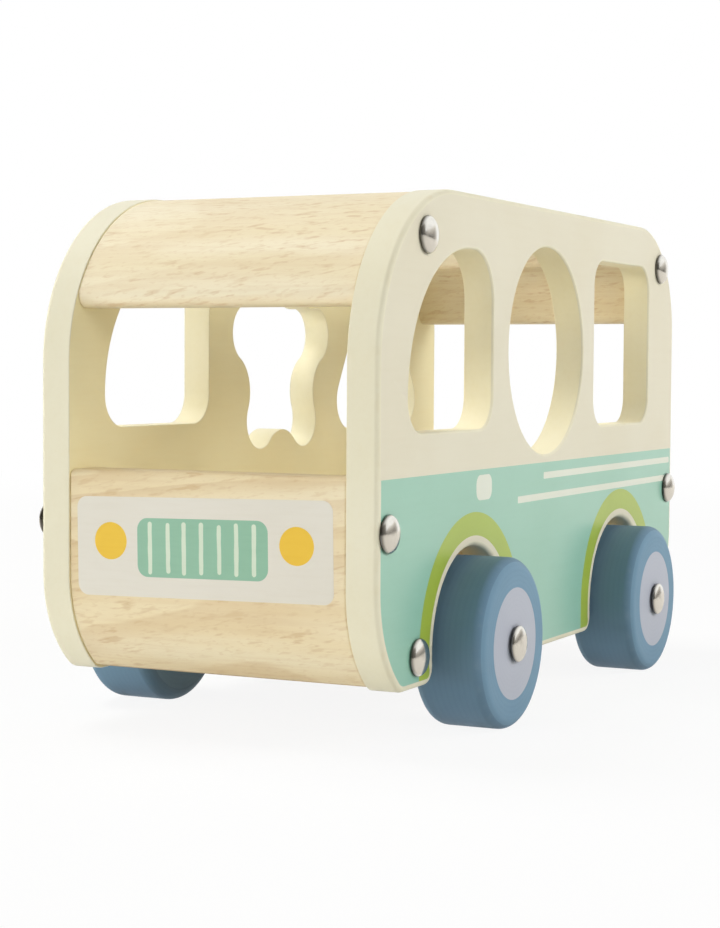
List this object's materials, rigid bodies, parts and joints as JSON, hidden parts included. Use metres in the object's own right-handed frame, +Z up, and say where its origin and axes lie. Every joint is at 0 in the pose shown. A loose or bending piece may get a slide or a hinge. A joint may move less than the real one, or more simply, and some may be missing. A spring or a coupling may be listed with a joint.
{
  "type": "shape sorter toy van",
  "caption": "Wooden shape sorter toy van with shaped window holes in its painted sides, open beech roof and ends, and freely rolling wheels on steel axles.",
  "frame": {"origin": "on the ground under the middle of the van, half way along its length and its width", "axes": "+X towards the van's left side, which has the round and square holes; -Y ahead, out of the nose; +Z up"},
  "size_m": [0.1174, 0.214, 0.1305],
  "materials": {
    "cream_paint": "satin cream paint on board, with a mint, lime and white print outside",
    "beech": "clear satin lacquer on beech",
    "base_beech": "bare sanded wood",
    "blue_paint": "satin slate blue paint on turned wood",
    "axle_steel": "drawn bright steel",
    "bright_nickel": "polished nickel plate"
  },
  "bodies": {
    "van_body": {"left_side_panel": "cream_paint", "right_side_panel": "cream_paint", "front_roof_rail": "beech", "rear_roof_rail": "beech", "front_fascia": "beech", "rear_fascia": "beech", "base_board": "base_beech", "left_front_roof_pin": "bright_nickel", "left_rear_roof_pin": "bright_nickel", "left_front_fascia_pin": "bright_nickel", "left_rear_fascia_pin": "bright_nickel", "left_front_base_pin": "bright_nickel", "left_rear_base_pin": "bright_nickel", "right_front_roof_pin": "bright_nickel", "right_rear_roof_pin": "bright_nickel", "right_front_fascia_pin": "bright_nickel", "right_rear_fascia_pin": "bright_nickel", "right_front_base_pin": "bright_nickel", "right_rear_base_pin": "bright_nickel", "front_axle": "axle_steel", "rear_axle": "axle_steel", "front_left_axle_cap": "bright_nickel", "front_right_axle_cap": "bright_nickel", "rear_left_axle_cap": "bright_nickel", "rear_right_axle_cap": "bright_nickel"},
    "front_left_roller": {"front_left_wheel": "blue_paint"},
    "front_right_roller": {"front_right_wheel": "blue_paint"},
    "rear_left_roller": {"rear_left_wheel": "blue_paint"},
    "rear_right_roller": {"rear_right_wheel": "blue_paint"}
  },
  "joints": [
    {"name": "front_left_wheel_spin", "type": "hinge", "parent": "van_body", "child": "front_left_roller", "pos_m": [0.04695, -0.0527, 0.021], "axis": [1, 0, 0], "continuous": true},
    {"name": "front_right_wheel_spin", "type": "hinge", "parent": "van_body", "child": "front_right_roller", "pos_m": [-0.04695, -0.0527, 0.021], "axis": [1, 0, 0], "continuous": true},
    {"name": "rear_left_wheel_spin", "type": "hinge", "parent": "van_body", "child": "rear_left_roller", "pos_m": [0.04695, 0.0567, 0.021], "axis": [1, 0, 0], "continuous": true},
    {"name": "rear_right_wheel_spin", "type": "hinge", "parent": "van_body", "child": "rear_right_roller", "pos_m": [-0.04695, 0.0567, 0.021], "axis": [1, 0, 0], "continuous": true}
  ]
}
